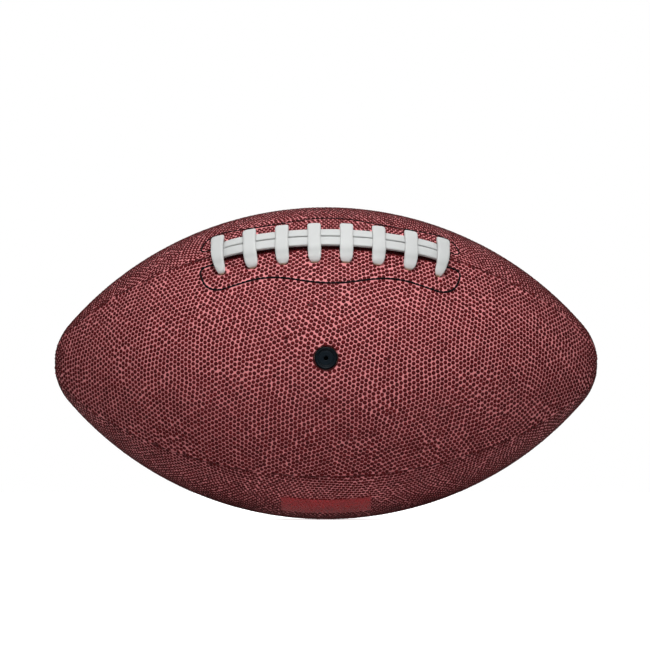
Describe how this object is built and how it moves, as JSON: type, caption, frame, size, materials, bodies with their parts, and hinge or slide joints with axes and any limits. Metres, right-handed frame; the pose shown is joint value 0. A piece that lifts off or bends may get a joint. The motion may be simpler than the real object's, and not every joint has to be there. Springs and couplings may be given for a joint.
{
  "type": "american football",
  "caption": "Pointed oval ball of pebbled leather panels sewn round a lined casing, with a white lacing, an inflation valve with a removable core, and a rubber bladder.",
  "frame": {"origin": "middle of the ball, on its long axis", "axes": "+X along the ball, -Y out of the valve, +Z out of the plain panel behind the lacing; the lacing points half way between -Y and +Z"},
  "size_m": [0.288, 0.1653, 0.1654],
  "materials": {
    "cover": "pebbled two-tone leather",
    "lining": "woven cotton lining",
    "seam_thread": "waxed thread",
    "lace": "soft satin vinyl",
    "facing": "bonded fabric",
    "stitch": "black thread",
    "tongue": "felted fabric",
    "bladder": "smooth moulded rubber",
    "valve_rubber": "satin moulded rubber",
    "core_rubber": "satin moulded rubber",
    "label": "thin gloss film"
  },
  "bodies": {
    "ball": {"panel_front": "cover", "panel_top": "cover", "panel_back": "cover", "panel_bottom": "cover", "lining_front": "lining", "lining_top": "lining", "lining_back": "lining", "lining_bottom": "lining", "seam_thread_lace_left": "seam_thread", "seam_thread_lace_right": "seam_thread", "seam_thread_front_bottom": "seam_thread", "seam_thread_back_bottom": "seam_thread", "seam_thread_top_back": "seam_thread", "lace": "lace", "lace_facing_front": "facing", "lace_facing_top": "facing", "facing_stitch_front": "stitch", "facing_stitch_top": "stitch", "lace_tongue": "tongue", "bladder": "bladder", "valve_housing": "valve_rubber", "label_film": "label"},
    "valve_plug": {"valve_core": "core_rubber"}
  },
  "joints": [
    {"name": "valve_core_slide", "type": "slide", "parent": "ball", "child": "valve_plug", "axis": [0, -1, 0], "range_m": [0, 0.016]}
  ]
}
